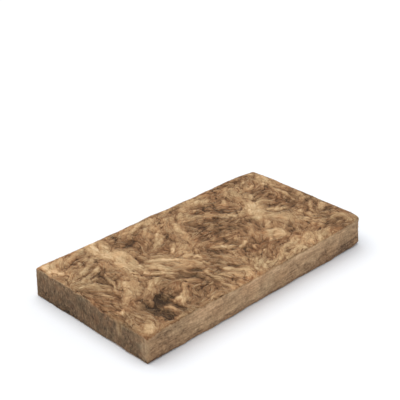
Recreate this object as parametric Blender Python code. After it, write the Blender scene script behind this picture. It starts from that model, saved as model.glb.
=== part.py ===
"""Glass wool insulation batt: one flat slab of bonded fibre, lying on its lower face.

Metres, +Z up. +X runs along the length, +Y across the width, and the origin is the centre of the
lower face. Run it with blender --background --python part.py, or from Blender's text editor.
"""

import bmesh
import bpy

# Nominal size of the batt, as it is sold. Its width suits framing at 600 mm centres.
LENGTH = 1.200
WIDTH = 0.600
THICKNESS = 0.120

# Soft wool has no sharp edges. The four upright corners are knocked round in handling, and the edge
# where a felted face meets a cut side is a smaller round.
CORNER_RADIUS = 0.014
CORNER_SEGMENTS = 6
EDGE_RADIUS = 0.006
EDGE_SEGMENTS = 4

# Finish of the bonded wool: matt, golden brown glass fibre in a plant-based binder.
WOOL_COLOUR = (0.386, 0.236, 0.123, 1.0)
WOOL_ROUGHNESS = 0.95
SMOOTH_ANGLE = 0.6

# How near to 1 the z of a unit direction is for the direction to count as vertical. A level one
# is as near to 0.
NEARLY_ONE = 0.99


def clear_scene():
    """Removes whatever the file held before."""
    for old in list(bpy.data.objects):
        bpy.data.objects.remove(old)


def wool_material():
    """Bonded glass wool, as a plain matt finish."""
    wool = bpy.data.materials.new("glass_wool")
    wool.use_nodes = True
    shader = wool.node_tree.nodes["Principled BSDF"]
    shader.inputs["Base Color"].default_value = WOOL_COLOUR
    shader.inputs["Roughness"].default_value = WOOL_ROUGHNESS
    shader.inputs["Metallic"].default_value = 0.0
    wool.diffuse_color = WOOL_COLOUR
    return wool


def is_vertical(direction):
    return abs(direction.z) > NEARLY_ONE


def is_level(direction):
    return abs(direction.z) < 1 - NEARLY_ONE


def is_upright(edge):
    """True for an edge that runs straight up, as the slab's four corners do."""
    low, high = edge.verts
    return is_vertical((high.co - low.co).normalized())


def is_rim(edge):
    """True for an edge between a felted face, top or bottom, and a cut side."""
    normals = [face.normal for face in edge.link_faces]
    return any(map(is_vertical, normals)) and any(map(is_level, normals))


def round_edges(mesh, edges, radius, segments):
    """Rounds these edges with arcs of that radius, or less where the block has less room."""
    bmesh.ops.bevel(
        mesh,
        geom=edges,
        offset=radius,
        offset_type="OFFSET",
        segments=segments,
        profile=0.5,
        affect="EDGES",
        clamp_overlap=True,
    )
    mesh.normal_update()


def slab_mesh():
    """The slab: a block with its four upright corners rounded, then both rims."""
    slab = bmesh.new()
    bmesh.ops.create_cube(slab, size=1.0)
    bmesh.ops.scale(slab, vec=(LENGTH, WIDTH, THICKNESS), verts=slab.verts)
    bmesh.ops.translate(slab, vec=(0.0, 0.0, THICKNESS / 2), verts=slab.verts)
    slab.normal_update()

    corners = [edge for edge in slab.edges if is_upright(edge)]
    round_edges(slab, corners, CORNER_RADIUS, CORNER_SEGMENTS)
    rims = [edge for edge in slab.edges if is_rim(edge)]
    round_edges(slab, rims, EDGE_RADIUS, EDGE_SEGMENTS)

    mesh = bpy.data.meshes.new("batt")
    slab.to_mesh(mesh)
    slab.free()
    mesh.shade_smooth()
    mesh.set_sharp_from_angle(angle=SMOOTH_ANGLE)
    return mesh


def main():
    clear_scene()
    mesh = slab_mesh()
    mesh.materials.append(wool_material())
    batt = bpy.data.objects.new("batt", mesh)
    bpy.context.scene.collection.objects.link(batt)


main()
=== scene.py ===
"""Looks of the glass wool batt: felted locks on its two faces, cut fibre on its four sides.

The felt is worked out first as a plan of cells, with the height, tone, warmth and direction of the
fibre in each. Light locks and dark hollows are listed one by one, and random puffs, tufts and
folds are drawn out along the fibre over them. The four sides have a plan of their own, unrolled.
The batt is one closed grid that reads its relief and its attributes from the two plans. Loose
fibres are thin tubes on top. Lengths are in millimetres up to the meshes, which are in metres.
"""

import math

import bpy
import numpy as np
from mathutils import Matrix, Vector


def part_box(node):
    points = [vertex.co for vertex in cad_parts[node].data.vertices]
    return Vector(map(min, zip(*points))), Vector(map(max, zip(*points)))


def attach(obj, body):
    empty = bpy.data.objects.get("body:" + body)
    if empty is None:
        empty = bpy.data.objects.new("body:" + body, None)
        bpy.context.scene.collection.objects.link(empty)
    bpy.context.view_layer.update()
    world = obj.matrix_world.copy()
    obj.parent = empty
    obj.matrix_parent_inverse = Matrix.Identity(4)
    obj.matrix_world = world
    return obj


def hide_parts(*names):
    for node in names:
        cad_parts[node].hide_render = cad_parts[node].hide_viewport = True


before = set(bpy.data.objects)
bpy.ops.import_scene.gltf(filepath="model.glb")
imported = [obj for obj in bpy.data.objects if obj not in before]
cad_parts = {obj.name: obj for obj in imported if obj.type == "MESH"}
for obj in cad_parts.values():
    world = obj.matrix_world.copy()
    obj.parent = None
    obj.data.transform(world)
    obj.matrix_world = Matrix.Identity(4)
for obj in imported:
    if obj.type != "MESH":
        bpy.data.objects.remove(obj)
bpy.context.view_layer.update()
LOWEST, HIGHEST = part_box("batt")
SIZE = np.array(HIGHEST - LOWEST)
MM = 0.001

# Plan of the upper face, in millimetres from the left end (x) and the near side (y). The felt
# runs on over the rim by RIM.
LENGTH_MM, WIDTH_MM, THICK_MM = SIZE / MM
CELL = 2.0
RIM = 24.0

# The marks below were read off a view of the upper face laid flat. Its four corners, from the near
# left one round by the near right one, really lie at these places of the plan.
READ_CORNERS = ((18, 2), (1188, 19), (1183, 576), (5, 594))

# Light locks that stand out in the photograph: points along the middle of each, its width, and its
# tone from 0, darkest, to 1.
LIGHT_LOCKS = [
    ([(24, 588), (17, 552), (26, 512)], 38, 1.00),
    ([(32, 560), (58, 582), (92, 594)], 22, 0.72),
    ([(92, 552), (128, 568), (152, 590)], 24, 0.68),
    ([(138, 520), (164, 536), (188, 552)], 16, 0.66),
    ([(88, 452), (128, 478), (168, 506)], 24, 0.68),
    ([(112, 430), (134, 436), (154, 450)], 15, 0.82),
    ([(188, 462), (184, 430), (172, 398)], 40, 0.50),
    ([(144, 396), (133, 370), (124, 342), (106, 302), (84, 262)], 8, 0.76),
    ([(18, 388), (52, 374), (66, 350)], 15, 0.72),
    ([(70, 396), (98, 392)], 14, 0.64),
    ([(44, 292), (58, 266)], 15, 0.66),
    ([(58, 200), (96, 224), (130, 254), (156, 292)], 36, 0.76),
    ([(148, 246), (172, 268), (188, 290)], 26, 0.64),
    ([(192, 204), (220, 224), (248, 246)], 26, 0.76),
    ([(128, 150), (158, 166), (194, 186)], 13, 0.62),
    ([(14, 158), (32, 176)], 14, 0.74),
    ([(238, 596), (228, 552), (232, 510), (246, 478), (250, 452)], 50, 0.92),
    ([(268, 566), (258, 520)], 28, 0.74),
    ([(288, 492), (276, 466), (246, 428), (222, 392), (217, 350), (222, 326)], 50, 0.86),
    ([(282, 440), (284, 410), (272, 372)], 26, 0.74),
    ([(250, 302), (264, 274), (300, 238), (332, 214)], 10, 0.90),
    ([(296, 334), (318, 288), (312, 258)], 34, 0.78),
    ([(120, 128), (138, 148)], 18, 0.58),
    ([(152, 86), (166, 62), (162, 36)], 20, 0.80),
    ([(208, 96), (228, 92), (248, 98)], 18, 0.94),
    ([(216, 66), (226, 76), (240, 86)], 22, 0.78),
    ([(6, 14), (26, 30), (46, 52)], 36, 0.84),
    ([(262, 100), (282, 128), (300, 140)], 24, 0.62),
    ([(396, 574), (450, 582), (506, 592)], 26, 0.76),
    ([(512, 570), (540, 588)], 24, 0.82),
    ([(424, 500), (452, 520), (482, 546)], 24, 0.70),
    ([(392, 404), (428, 430), (462, 456), (490, 482)], 22, 0.74),
    ([(398, 454), (436, 488), (468, 514)], 13, 0.64),
    ([(464, 438), (480, 468), (502, 492)], 17, 0.76),
    ([(428, 336), (444, 352), (472, 370)], 10, 0.92),
    ([(452, 312), (476, 330), (504, 354)], 40, 0.70),
    ([(590, 496), (570, 452), (557, 402), (538, 362)], 24, 0.90),
    ([(540, 470), (556, 520), (590, 548)], 30, 0.62),
    ([(300, 350), (344, 336), (372, 304), (402, 284), (426, 254), (442, 226)], 20, 0.90),
    ([(346, 368), (372, 354)], 14, 0.74),
    ([(424, 236), (446, 204)], 17, 0.82),
    ([(334, 250), (370, 240), (408, 254)], 36, 0.76),
    ([(444, 280), (466, 272)], 24, 0.86),
    ([(456, 226), (477, 232), (474, 252), (456, 252)], 12, 0.78),
    ([(462, 204), (468, 184)], 18, 0.82),
    ([(364, 206), (380, 180), (402, 150)], 8, 0.72),
    ([(418, 146), (420, 100), (414, 50), (411, 2)], 17, 0.82),
    ([(437, 106), (456, 92), (459, 58)], 6, 0.88),
    ([(486, 112), (512, 82), (536, 60), (538, 30), (524, 8)], 21, 0.78),
    ([(512, 152), (530, 130), (546, 112)], 14, 0.72),
    ([(592, 176), (588, 130), (582, 96)], 15, 0.70),
    ([(600, 52), (622, 74), (640, 88)], 15, 0.86),
    ([(594, 56), (572, 28), (578, 6)], 10, 0.74),
    ([(606, 14), (624, 28)], 14, 0.84),
    ([(548, 304), (562, 292)], 14, 0.66),
    ([(580, 256), (600, 230), (622, 206)], 36, 0.90),
    ([(606, 296), (640, 304)], 9, 0.80),
    ([(648, 518), (682, 548), (722, 580), (762, 597)], 32, 0.76),
    ([(768, 572), (802, 574), (820, 552), (808, 532)], 34, 0.86),
    ([(640, 484), (688, 474), (718, 472), (738, 456)], 22, 0.74),
    ([(676, 434), (696, 446)], 20, 0.68),
    ([(722, 456), (742, 434)], 11, 0.82),
    ([(754, 474), (766, 430), (792, 404), (826, 374)], 25, 0.80),
    ([(800, 392), (824, 374)], 15, 1.00),
    ([(846, 362), (870, 388)], 28, 0.72),
    ([(646, 178), (676, 184), (704, 198)], 13, 0.86),
    ([(688, 140), (700, 160), (712, 146)], 10, 0.72),
    ([(654, 294), (682, 284)], 12, 0.72),
    ([(756, 226), (786, 254), (818, 292)], 30, 0.66),
    ([(956, 404), (930, 374), (906, 340)], 56, 0.92),
    ([(924, 330), (892, 304), (872, 292)], 44, 0.90),
    ([(894, 344), (916, 338)], 12, 1.00),
    ([(822, 184), (848, 162), (850, 136), (820, 134)], 44, 0.86),
    ([(776, 134), (794, 146)], 14, 0.88),
    ([(918, 104), (936, 124), (952, 144)], 22, 0.56),
    ([(698, 16), (752, 46), (806, 62)], 28, 0.70),
    ([(812, 54), (852, 82), (884, 76)], 24, 0.80),
    ([(862, 18), (898, 46), (938, 62)], 30, 0.86),
    ([(934, 6), (960, 44)], 30, 0.84),
    ([(866, 480), (890, 498)], 17, 0.82),
    ([(944, 556), (980, 580)], 22, 0.76),
    ([(940, 452), (966, 494), (990, 546)], 50, 0.66),
    ([(994, 434), (1014, 454)], 15, 0.84),
    ([(982, 386), (1014, 388), (1034, 366), (1040, 334)], 18, 0.70),
    ([(996, 292), (1030, 284)], 22, 0.78),
    ([(922, 300), (948, 262), (974, 216), (986, 158)], 40, 0.74),
    ([(1098, 352), (1110, 384), (1100, 412)], 22, 0.70),
    ([(1140, 452), (1144, 400), (1140, 352), (1124, 300)], 16, 0.88),
    ([(1060, 498), (1092, 514)], 16, 0.86),
    ([(1078, 558), (1092, 576)], 14, 0.80),
    ([(1184, 548), (1168, 504), (1160, 462)], 48, 0.80),
    ([(1186, 322), (1164, 286)], 28, 0.78),
    ([(1098, 182), (1128, 208), (1158, 238)], 14, 0.72),
    ([(1140, 158), (1184, 188)], 30, 0.68),
    ([(1036, 152), (1040, 122), (1018, 106)], 12, 0.86),
    ([(1036, 98), (1056, 76)], 26, 0.70),
    ([(1108, 68), (1126, 82)], 14, 0.82),
    ([(1150, 94), (1156, 52), (1150, 6)], 28, 0.80),
    # Smaller and softer ones between them, added where the felt first came out too dark.
    ([(34, 412), (66, 416), (104, 428)], 24, 0.62),
    ([(58, 324), (80, 310)], 24, 0.62),
    ([(98, 510), (140, 524)], 22, 0.60),
    ([(160, 586), (196, 594)], 26, 0.72),
    ([(262, 432), (256, 392), (262, 348)], 34, 0.86),
    ([(290, 222), (300, 204)], 20, 0.62),
    ([(322, 154), (350, 146)], 22, 0.56),
    ([(372, 224), (398, 212)], 20, 0.74),
    ([(388, 536), (410, 560)], 26, 0.60),
    ([(476, 74), (488, 34)], 24, 0.70),
    ([(498, 306), (528, 318)], 28, 0.58),
    ([(508, 524), (530, 556), (556, 584)], 46, 0.70),
    ([(534, 208), (548, 178), (566, 150)], 24, 0.64),
    ([(586, 396), (618, 378)], 24, 0.62),
    ([(598, 516), (616, 540)], 24, 0.64),
    ([(618, 40), (636, 58)], 22, 0.76),
    ([(660, 508), (694, 526), (716, 556)], 38, 0.74),
    ([(668, 370), (696, 382)], 22, 0.58),
    ([(688, 238), (706, 256)], 26, 0.62),
    ([(716, 346), (748, 356)], 26, 0.54),
    ([(734, 560), (768, 556), (800, 564)], 20, 0.76),
    ([(782, 12), (806, 24), (832, 6)], 26, 0.74),
    ([(788, 328), (812, 346)], 24, 0.60),
    ([(786, 426), (806, 416)], 16, 0.62),
    ([(850, 212), (870, 222), (888, 248)], 24, 0.66),
    ([(896, 12), (930, 34)], 26, 0.80),
    ([(936, 530), (960, 552)], 22, 0.70),
    ([(976, 6), (1010, 14)], 26, 0.70),
    ([(980, 452), (986, 436)], 16, 0.70),
    ([(1000, 512), (1030, 548)], 24, 0.70),
    ([(1012, 370), (1020, 344)], 18, 0.62),
    ([(1020, 92), (1030, 60)], 28, 0.74),
    ([(1062, 204), (1066, 160), (1058, 128)], 26, 0.66),
    ([(1174, 432), (1182, 408)], 24, 0.74),
    ([(96, 6), (150, 4)], 18, 0.62),
    ([(166, 386), (176, 364)], 20, 0.66),
    ([(176, 496), (194, 486)], 14, 0.66),
    ([(290, 414), (288, 386)], 14, 0.78),
    ([(308, 6), (352, 4)], 18, 0.64),
    ([(338, 382), (344, 404)], 16, 0.64),
    ([(418, 594), (482, 598)], 18, 0.76),
    ([(496, 476), (494, 450)], 20, 0.68),
    ([(500, 280), (530, 296), (562, 300)], 22, 0.60),
    ([(638, 12), (674, 6)], 24, 0.76),
    ([(642, 598), (682, 598)], 16, 0.74),
    ([(800, 598), (842, 594)], 16, 0.74),
    ([(830, 44), (854, 54)], 18, 0.82),
    ([(964, 124), (966, 106)], 18, 0.62),
    ([(1004, 146), (1014, 126)], 20, 0.68),
    ([(1136, 68), (1160, 50)], 32, 0.84),
]

# Dark hollows and creases: points along the middle of each, its width, and its depth, where 1 is
# half a millimetre down and 0.034 of tone.
# A hollow's darker tone is partly the felt's own and partly painted shade, deeper as the hollow sinks deeper.
HOLLOWS = [
    ([(640, 400), (690, 340), (780, 320)], 120, 4),
    ([(720, 545), (790, 530), (850, 450)], 50, 3),
    ([(300, 60), (380, 70)], 80, 3),
    ([(1080, 40), (1120, 30)], 60, 4),
    ([(38, 520), (80, 538), (122, 550), (176, 562)], 17, 5),
    ([(102, 444), (140, 460), (178, 484)], 12, 3),
    ([(122, 420), (120, 400), (104, 366)], 30, 7),
    ([(70, 286), (90, 266), (74, 246)], 6, 3),
    ([(291, 344), (298, 382), (304, 430)], 14, 5),
    ([(250, 262), (268, 252)], 22, 6),
    ([(272, 302), (304, 262)], 8, 4),
    ([(118, 122), (140, 104), (164, 130)], 44, 12),
    ([(168, 148), (176, 112)], 30, 12),
    ([(112, 84), (124, 52), (120, 22)], 30, 12),
    ([(186, 96), (176, 58), (150, 22)], 12, 7),
    ([(207, 120), (210, 116)], 11, 7),
    ([(264, 84), (260, 72)], 12, 7),
    ([(226, 200), (246, 190)], 20, 5),
    ([(318, 522), (345, 510), (374, 520)], 30, 6),
    ([(412, 548), (450, 560), (486, 574)], 14, 5),
    ([(352, 396), (402, 384), (446, 392), (482, 432)], 20, 3),
    ([(504, 456), (490, 408)], 10, 2),
    ([(512, 528), (536, 550), (552, 564)], 6, 3),
    ([(334, 208), (346, 186), (372, 168)], 34, 8),
    ([(382, 188), (402, 182)], 24, 8),
    ([(398, 140), (412, 106)], 11, 4),
    ([(380, 108), (392, 100)], 17, 5),
    ([(474, 150), (474, 108)], 10, 4),
    ([(440, 98), (448, 70), (454, 36)], 6, 6),
    ([(520, 128), (530, 112)], 20, 5),
    ([(540, 250), (542, 210)], 30, 5),
    ([(526, 290), (522, 262)], 20, 5),
    ([(584, 324), (634, 336), (692, 326), (740, 320)], 20, 5),
    ([(600, 284), (644, 278), (642, 256)], 18, 6),
    ([(648, 574), (684, 594)], 15, 5),
    ([(716, 538), (768, 542), (812, 518)], 26, 7),
    ([(736, 492), (778, 488), (818, 456)], 26, 6),
    ([(686, 428), (712, 418), (742, 408)], 28, 9),
    ([(586, 330), (640, 336), (690, 330)], 26, 6),
    ([(740, 330), (752, 296)], 24, 6),
    ([(832, 436), (874, 408)], 18, 4),
    ([(640, 392), (646, 340)], 22, 4),
    ([(766, 302), (768, 270), (750, 236), (742, 204), (734, 178), (720, 148)], 11, 6),
    ([(712, 173), (684, 154), (671, 124)], 10, 6),
    ([(795, 312), (794, 288)], 13, 5),
    ([(706, 126), (760, 136)], 32, 4),
    ([(838, 90), (872, 96), (892, 122), (908, 152), (950, 164)], 9, 5),
    ([(952, 160), (946, 130), (936, 104)], 12, 4),
    ([(758, 28), (778, 46)], 9, 4),
    ([(702, 62), (742, 84)], 7, 3),
    ([(898, 510), (902, 498)], 13, 3),
    ([(858, 540), (884, 560), (944, 560)], 14, 4),
    ([(978, 410), (1012, 420), (1048, 436)], 10, 4),
    ([(1000, 344), (1020, 322), (1046, 326)], 16, 4),
    ([(1058, 344), (1082, 340)], 46, 6),
    ([(1058, 384), (1096, 402)], 14, 5),
    ([(1096, 304), (1122, 318)], 26, 7),
    ([(1150, 348), (1186, 386)], 14, 5),
    ([(1052, 470), (1092, 448), (1130, 446)], 32, 3),
    ([(1176, 244), (1186, 256)], 16, 5),
    ([(1158, 206), (1172, 224)], 18, 4),
    ([(1072, 176), (1090, 186)], 16, 4),
    ([(1130, 192), (1128, 172)], 16, 4),
    ([(1074, 246), (1088, 254)], 16, 4),
    ([(1032, 44), (1048, 46)], 17, 5),
    ([(1064, 34), (1096, 12), (1136, 28)], 44, 6),
    ([(1158, 128), (1174, 134)], 18, 4),
    ([(952, 46), (1000, 66)], 20, 3),
    # Smaller ones between them, added where the felt first came out too light.
    ([(6, 364), (8, 318)], 26, 4),
    ([(8, 508), (12, 484)], 22, 3),
    ([(34, 78), (42, 56)], 18, 5),
    ([(72, 242), (68, 194)], 26, 4),
    ([(84, 52), (86, 28)], 14, 5),
    ([(134, 400), (138, 362)], 12, 3),
    ([(192, 112), (190, 72), (186, 30)], 22, 9),
    ([(202, 372), (200, 334)], 14, 4),
    ([(230, 334), (236, 320)], 14, 4),
    ([(226, 124), (250, 118)], 18, 6),
    ([(222, 40), (238, 24)], 26, 4),
    ([(290, 508), (300, 486)], 20, 4),
    ([(298, 352), (304, 334)], 16, 6),
    ([(306, 24), (322, 34)], 14, 4),
    ([(366, 420), (374, 452)], 20, 4),
    ([(358, 372), (384, 368), (404, 366)], 16, 4),
    ([(394, 52), (396, 24)], 12, 4),
    ([(420, 500), (430, 512)], 16, 4),
    ([(454, 176), (480, 166)], 16, 4),
    ([(484, 352), (508, 364)], 20, 3),
    ([(544, 480), (550, 500)], 14, 3),
    ([(552, 264), (584, 256)], 24, 7),
    ([(606, 190), (640, 186)], 14, 5),
    ([(638, 224), (654, 198)], 22, 4),
    ([(614, 316), (634, 304)], 16, 4),
    ([(630, 84), (648, 90)], 14, 4),
    ([(644, 142), (652, 160)], 16, 4),
    ([(660, 556), (678, 568)], 16, 6),
    ([(798, 108), (834, 100)], 24, 5),
    ([(814, 528), (834, 536)], 16, 4),
    ([(820, 226), (828, 208)], 14, 4),
    ([(864, 14), (870, 28)], 18, 4),
    ([(886, 70), (894, 94)], 18, 5),
    ([(932, 292), (942, 284)], 16, 4),
    ([(934, 62), (944, 80)], 18, 4),
    ([(948, 422), (954, 470)], 16, 3),
    ([(970, 140), (984, 180)], 24, 4),
    ([(968, 592), (1006, 580)], 28, 6),
    ([(1056, 588), (1092, 580)], 28, 6),
    ([(1086, 436), (1100, 442)], 20, 3),
    ([(1118, 400), (1126, 368)], 16, 4),
    ([(1138, 240), (1160, 246)], 20, 4),
    ([(1160, 282), (1168, 296)], 18, 4),
    ([(1160, 108), (1184, 82)], 16, 5),
    ([(1170, 572), (1180, 558)], 16, 4),
    ([(2, 592), (4, 562)], 14, 6),
    ([(12, 142), (16, 122)], 20, 4),
    ([(22, 208), (28, 190)], 20, 4),
    ([(378, 94), (410, 110)], 24, 5),
    ([(390, 410), (410, 430)], 20, 5),
    ([(446, 250), (452, 216)], 12, 7),
    ([(520, 360), (554, 386)], 30, 3),
    ([(566, 210), (570, 190)], 16, 5),
    ([(614, 314), (664, 304), (720, 300)], 36, 4),
    ([(752, 480), (760, 462)], 14, 4),
    ([(806, 134), (824, 124)], 18, 6),
    ([(852, 304), (862, 274)], 16, 6),
    ([(1040, 312), (1090, 348), (1160, 334)], 50, 3),
    ([(1052, 260), (1110, 264)], 36, 3),
    ([(1112, 436), (1132, 444)], 22, 6),
    ([(1136, 134), (1164, 118)], 20, 5),
]

# Broad lighter and darker patches of the cut sides: millimetres round the batt from the near left
# corner, millimetres up, how far they reach each way, and how much tone they add.
SIDE_PATCHES = [
    (70, 70, 110, 90, -0.13),
    (280, 100, 70, 50, 0.07),
    (560, 70, 120, 60, 0.06),
    (745, 70, 45, 90, -0.10),
    (890, 115, 140, 35, 0.14),
    (1130, 15, 110, 55, -0.22),
    (1190, 90, 40, 60, -0.08),
    (3020, 90, 35, 60, 0.09),
    (3140, 10, 90, 20, -0.09),
    (3260, 90, 60, 40, -0.04),
    (3430, 60, 70, 60, 0.07),
    # The lighter patch on the end by the near left corner is painted light on the rounded corner.
    (3595, 75, 28, 70, 0.13),
]

# Tone that parts the felt's dark parts from its light ones.
MIDDLE_TONE = 0.45

# Weight of the plain felt against that of a mark, and how wide the painted shade along the locks' rims is.
PLAIN_WEIGHT, MARK_WEIGHT = 0.20, 1.8
RIM_SHADE_WIDTH = 2.6

# Thin folds of the felt: the size of the noise that they part, and how wide each line is as a share
# of that noise's spread.
FOLDS = {"creases": (34.0, 0.12), "fine_creases": (20.0, 0.13), "wisps": (26.0, 0.09)}

# The batt's edges are rounded by a radius near this, and by no less than the least. Some places are
# rounder or sharper: where, by how much, and how far round about.
EDGE_RADIUS, LEAST_RADIUS = 5.5, 2.5
ROUNDER_PLACES = (
    ((0, 130, THICK_MM), 15.0, 70.0),
    ((LENGTH_MM, 0, 0), 14.0, 30.0),
    ((0, 0, THICK_MM), 8.0, 45.0),
    ((LENGTH_MM, WIDTH_MM, THICK_MM), 14.0, 45.0),
    ((LENGTH_MM, 0, THICK_MM), 9.0, 30.0),
    ((0, 470, THICK_MM), -3.0, 130.0),
)

# Cells of the batt's surface: along, across and through it, where they crowd towards the two rims
# by this share. The underside has them twice as large.
CELLS = (336, 168, 28)
RIM_CROWDING = 0.5

# Where each part of the surface lies on the baked picture: left, width, bottom and height, for the
# upper face, the four sides in turn from the near one, and the underside. Along its rims, a part
# stays free by BAKE_EDGE of its own width and height.
PARTS = ((0.0, 1.0, 0.5, 0.5), (0.0, 1.0, 0.4, 0.1), (0.0, 0.5, 0.2, 0.1), (0.0, 1.0, 0.3, 0.1),
         (0.5, 0.5, 0.2, 0.1), (0.0, 1.0, 0.0, 0.2))
BAKE_EDGE = 0.004

# Loose fibres: how many lie on the upper face and stand off the sides, points along each one, and
# their lengths and radii. A real fibre is a few thousandths of a millimetre thick, too fine to show,
# so each one here stands for a strand of many and is as thick as it needs to be.
UPPER_FIBRES, UPPER_POINTS = 4600, 11
UPPER_LENGTHS, UPPER_RADII = (16, 60), (0.12, 0.34)
SIDE_FIBRES, SIDE_POINTS = 3600, 7
SIDE_LENGTHS, SIDE_RADII = (4, 14), (0.12, 0.30)

# The photograph's camera, fitted to the slab's outline: lens for a 36 mm sensor, the point at half
# the slab's height that the picture's centre looks at, and where the camera stands from there.
LENS_MM = 98.4
AIM = Vector((0.307, 0.336, 0.060))
AZIMUTH_DEG, ELEVATION_DEG, ROLL_DEG = -136.5, 28.1, 1.70
DISTANCE = 4.667

# Kinds of node that the materials use most, and the settings of a step of arithmetic.
ATTRIBUTE, MATH = "ShaderNodeAttribute", "ShaderNodeMath"
NOISE, RAMP, MIX = "ShaderNodeTexNoise", "ShaderNodeValToRGB", "ShaderNodeMix"
TIMES = {"operation": "MULTIPLY"}
TIMES_PLUS = {"operation": "MULTIPLY_ADD"}
MINUS = {"operation": "SUBTRACT"}

# A mix of two colours, and the numbers of its sockets: the first and second colour, and the result.
COLOURS = {"data_type": "RGBA"}
COLOUR_A, COLOUR_B, MIXED = 6, 7, 2


# Plan of the felt

def blurred(field, radius):
    """The field smoothed by a Gaussian of that radius in cells, with its edges carried on outward.

    Its spectrum is multiplied by exp(-2 (pi radius frequency)^2), and turned back.
    """
    pad = int(3 * radius) + 1
    wide = np.pad(field, pad, mode="edge")
    fx = np.fft.fftfreq(wide.shape[0])[:, None]
    fy = np.fft.rfftfreq(wide.shape[1])[None, :]
    passed = np.exp(-2 * (np.pi * radius) ** 2 * (fx**2 + fy**2))
    out = np.fft.irfft2(np.fft.rfft2(wide) * passed, s=wide.shape)
    return out[pad:-pad, pad:-pad]


def even(field):
    """The field moved and scaled to a mean of 0 and a spread of 1."""
    return (field - field.mean()) / field.std()


def blots(shape, size, rng):
    """Soft blots about size millimetres across: white noise smoothed, then made even."""
    return even(blurred(rng.normal(size=shape), size / CELL / 2.6))


def sampled(field, x, y):
    """The field at plan points in millimetres: the four cells round each, weighted by nearness."""
    u = np.clip((x + RIM) / CELL, 0, field.shape[0] - 1.001)
    v = np.clip((y + RIM) / CELL, 0, field.shape[1] - 1.001)
    i, j = u.astype(int), v.astype(int)
    fu, fv = u - i, v - j
    low = field[i, j] * (1 - fu) + field[i + 1, j] * fu
    high = field[i, j + 1] * (1 - fu) + field[i + 1, j + 1] * fu
    return low * (1 - fv) + high * fv


def bell(place, centre, spread):
    """1 at the centre, falling away as a Gaussian of that spread: exp(-far^2 / (2 spread^2))."""
    far = ((place - np.array(centre)) ** 2).sum(-1)
    return np.exp(-far / (2 * spread**2))


def plan_grid(length, width):
    """The x and the y of every cell of a plan of that size in millimetres, its rims included."""
    nx = int((length + 2 * RIM) / CELL) + 1
    ny = int((width + 2 * RIM) / CELL) + 1
    return np.meshgrid(np.arange(nx) * CELL - RIM, np.arange(ny) * CELL - RIM, indexing="ij")


def smooth_path(points, step=4.0):
    """A curve through these points, cut every step millimetres.

    Between two of them it is a cubic, whose slope at each is half the way from the point before it
    to the one after.
    """
    p = np.array(points, float)
    p = np.vstack([2 * p[0] - p[1], p, 2 * p[-1] - p[-2]])
    out = []
    for a, b, c, d in zip(p[:-3], p[1:-2], p[2:-1], p[3:]):
        n = max(2, int(np.hypot(*(c - b)) / step))
        t = np.linspace(0, 1, n, endpoint=False)[:, None]
        bend = (2 * a - 5 * b + 4 * c - d) * t**2 + (3 * b - a - 3 * c + d) * t**3
        out.append(0.5 * (2 * b + (c - a) * t + bend))
    return np.vstack(out + [p[-2:-1]])


def flattening():
    """The 3 by 3 matrix that takes a mark of the flat view to its place: it fits the four corners."""
    corners = ((0, 0), (LENGTH_MM, 0), (LENGTH_MM, WIDTH_MM), (0, WIDTH_MM))
    rows, sides = [], []
    for (x, y), (u, v) in zip(corners, READ_CORNERS):
        rows += [(x, y, 1, 0, 0, 0, -u * x, -u * y), (0, 0, 0, x, y, 1, -v * x, -v * y)]
        sides += [u, v]
    return np.append(np.linalg.solve(rows, sides), 1).reshape(3, 3)


def marked(points, flat):
    """A curve through marks of the flat view, put in their places."""
    u, v, w = flat @ np.array([(x, y, 1) for x, y in points]).T
    return smooth_path(np.stack([u / w, v / w], 1))


def cells_near(path, reach):
    """The block of cells that holds the path and everything within reach millimetres of it."""
    low = np.maximum((path.min(0) - reach + RIM) / CELL, 0).astype(int)
    high = np.maximum((path.max(0) + reach + RIM) / CELL + 1, 1).astype(int)
    return slice(low[0], high[0]), slice(low[1], high[1])


def distance(x, y, path):
    """Millimetres from each plan point to the nearest point of the path."""
    far = (x[..., None] - path[:, 0]) ** 2 + (y[..., None] - path[:, 1]) ** 2
    return np.sqrt(far.min(-1))


def fibre_run(x, y, strokes, rng, reach=24.0):
    """Direction of the fibre: along the strokes near by, and straying, as in spun wool.

    Directions are averaged as vectors of twice their angle, because a fibre has no front end. Each
    piece of a stroke weighs its length by a Gaussian of its distance. Blots then turn the mean.
    """
    gx, gy = x[::4, ::4], y[::4, ::4]
    cos2 = 0.16 * blots(x.shape, 110.0, rng)[::4, ::4]
    sin2 = 0.16 * blots(x.shape, 110.0, rng)[::4, ::4]
    for path in strokes:
        mid = (path[1:] + path[:-1]) / 2
        run = np.diff(path, axis=0)
        angle = 2 * np.arctan2(run[:, 1], run[:, 0])
        far = (gx[..., None] - mid[:, 0]) ** 2 + (gy[..., None] - mid[:, 1]) ** 2
        weight = np.exp(-far / (2 * reach**2)) * np.hypot(run[:, 0], run[:, 1]) / reach
        cos2 += (weight * np.cos(angle)).sum(-1)
        sin2 += (weight * np.sin(angle)).sum(-1)
    size = np.hypot(cos2, sin2) + 1e-6
    fine_x, fine_y = (x + RIM) / 4 - RIM, (y + RIM) / 4 - RIM
    angle = np.arctan2(sampled(sin2 / size, fine_x, fine_y), sampled(cos2 / size, fine_x, fine_y)) / 2
    angle += 0.30 * blots(x.shape, 60.0, rng) + 0.30 * blots(x.shape, 22.0, rng)
    return np.cos(angle), np.sin(angle)


def drawn_out(field, x, y, run, reach):
    """The field averaged along the fibre, by steps that double up to reach millimetres each way."""
    step = CELL
    while step <= reach:
        ahead = sampled(field, x + run[0] * step, y + run[1] * step)
        behind = sampled(field, x - run[0] * step, y - run[1] * step)
        field = (field + ahead + behind) / 3
        step *= 2
    return even(field)


def tufts(x, y, run, size, reach, rng):
    """Rounded tufts parted by sharp creases: a drawn-out noise, folded where it passes zero."""
    return even(np.abs(drawn_out(blots(x.shape, size, rng), x, y, run, reach)))


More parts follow.
